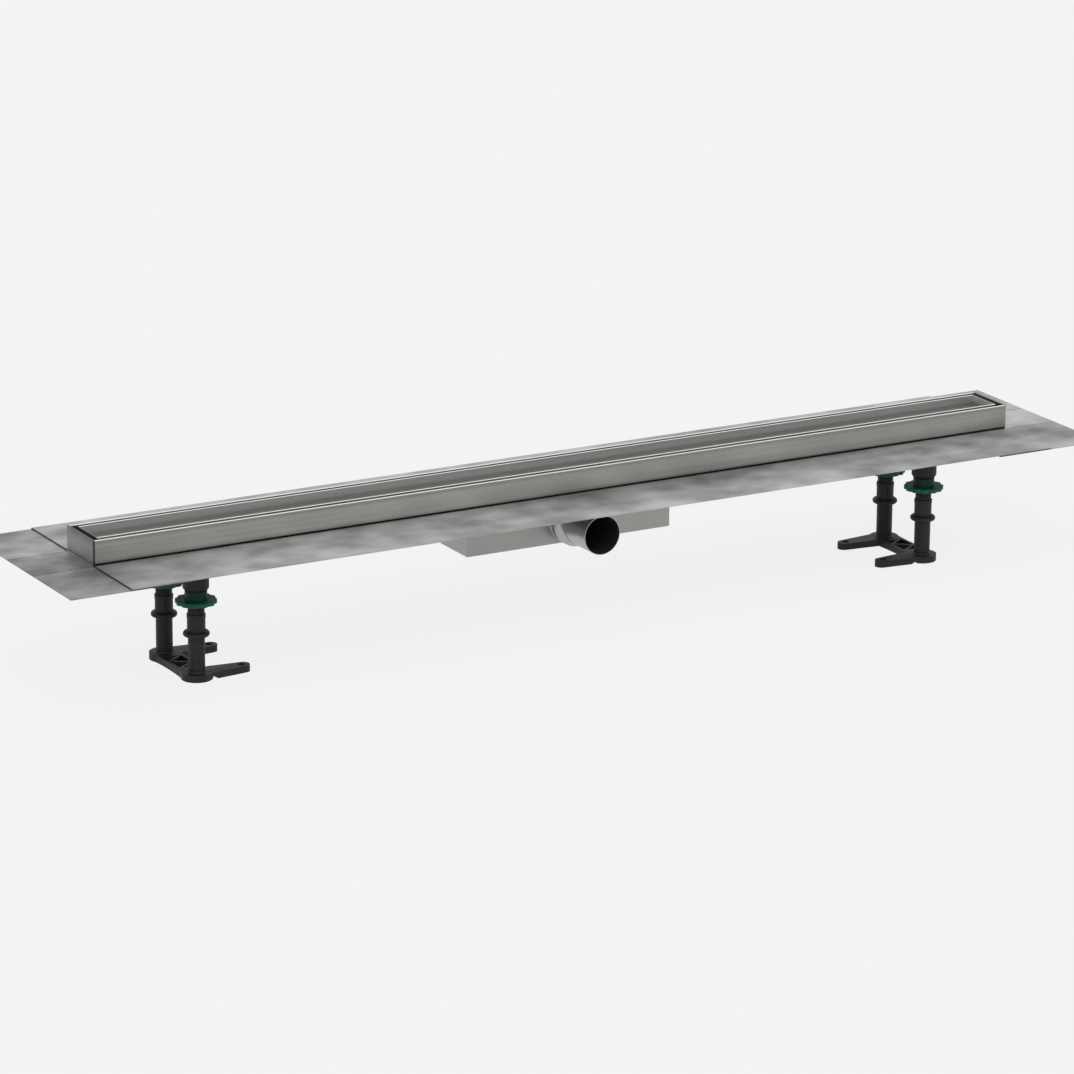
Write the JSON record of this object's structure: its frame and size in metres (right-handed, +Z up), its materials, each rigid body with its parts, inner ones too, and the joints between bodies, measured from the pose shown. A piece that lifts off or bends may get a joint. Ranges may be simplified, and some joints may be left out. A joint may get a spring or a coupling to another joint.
{
  "type": "linear shower drain",
  "caption": "Long stainless channel drain with a wide bonding flange, tile tray, side-outlet trap box and levelling feet under each end.",
  "frame": {"origin": "on the floor under the middle of the channel", "axes": "+X along the channel, +Z up, the outlet points along -Y"},
  "size_m": [1.454, 0.282, 0.1882],
  "materials": {
    "channel_steel": "fine brushed along its length",
    "tray_steel": "fine brushed along its length",
    "flange_steel": "mill finish with cloudy blotches",
    "trap_steel": "satin",
    "stud_steel": "turned",
    "black_plastic": "moulded, matt",
    "green_plastic": "moulded, matt",
    "trap_plastic": "moulded, smooth",
    "seal_rubber": "matt"
  },
  "bodies": {
    "channel": {"back_flange_plate": "flange_steel", "back_left_corner_plate": "flange_steel", "back_right_corner_plate": "flange_steel", "back_sealing_strip": "seal_rubber", "back_wall": "channel_steel", "dip_tube": "trap_plastic", "flange_studs": "stud_steel", "floor_pan": "channel_steel", "front_flange_plate": "flange_steel", "front_left_corner_plate": "flange_steel", "front_right_corner_plate": "flange_steel", "front_sealing_strip": "seal_rubber", "front_wall": "channel_steel", "hair_strainer": "trap_steel", "left_back_leg_socket": "black_plastic", "left_end_plate": "channel_steel", "left_front_leg_socket": "black_plastic", "left_tray_buffer": "seal_rubber", "outlet_seal": "seal_rubber", "outlet_socket": "trap_steel", "outlet_spigot": "trap_steel", "right_back_leg_socket": "black_plastic", "right_end_plate": "channel_steel", "right_front_leg_socket": "black_plastic", "right_tray_buffer": "seal_rubber", "stud_nuts": "stud_steel", "tile_tray": "tray_steel", "trap_cup": "trap_plastic", "trap_gasket": "seal_rubber", "trap_housing": "trap_steel", "tray_support_1": "black_plastic", "tray_support_2": "black_plastic", "tray_support_3": "black_plastic", "tray_support_4": "black_plastic"},
    "left_foot": {"left_foot_base": "black_plastic", "left_front_leg": "black_plastic", "left_back_leg": "black_plastic"},
    "left_front_nut": {"left_front_levelling_nut": "green_plastic"},
    "left_back_nut": {"left_back_levelling_nut": "green_plastic"},
    "right_foot": {"right_foot_base": "black_plastic", "right_front_leg": "black_plastic", "right_back_leg": "black_plastic"},
    "right_front_nut": {"right_front_levelling_nut": "green_plastic"},
    "right_back_nut": {"right_back_levelling_nut": "green_plastic"}
  },
  "joints": [
    {"name": "left_front_nut_turn", "type": "hinge", "parent": "channel", "child": "left_front_nut", "pos_m": [-0.52, -0.0445, 0.1], "axis": [0, 0, 1], "range_deg": [-1561, 2401]},
    {"name": "left_back_nut_turn", "type": "hinge", "parent": "channel", "child": "left_back_nut", "pos_m": [-0.52, 0.0445, 0.1], "axis": [0, 0, 1], "range_deg": [-1561, 2401]},
    {"name": "left_foot_height", "type": "slide", "parent": "channel", "child": "left_foot", "axis": [0, 0, -1], "range_m": [-0.013, 0.02]},
    {"name": "right_front_nut_turn", "type": "hinge", "parent": "channel", "child": "right_front_nut", "pos_m": [0.52, -0.0445, 0.1], "axis": [0, 0, 1], "range_deg": [-1561, 2401]},
    {"name": "right_back_nut_turn", "type": "hinge", "parent": "channel", "child": "right_back_nut", "pos_m": [0.52, 0.0445, 0.1], "axis": [0, 0, 1], "range_deg": [-1561, 2401]},
    {"name": "right_foot_height", "type": "slide", "parent": "channel", "child": "right_foot", "axis": [0, 0, -1], "range_m": [-0.013, 0.02]}
  ],
  "couplings": [
    {"joint": "left_front_nut_turn", "follows": "left_foot_height", "rad_per_m": 2094.4},
    {"joint": "left_back_nut_turn", "follows": "left_foot_height", "rad_per_m": 2094.4},
    {"joint": "right_front_nut_turn", "follows": "right_foot_height", "rad_per_m": 2094.4},
    {"joint": "right_back_nut_turn", "follows": "right_foot_height", "rad_per_m": 2094.4}
  ]
}
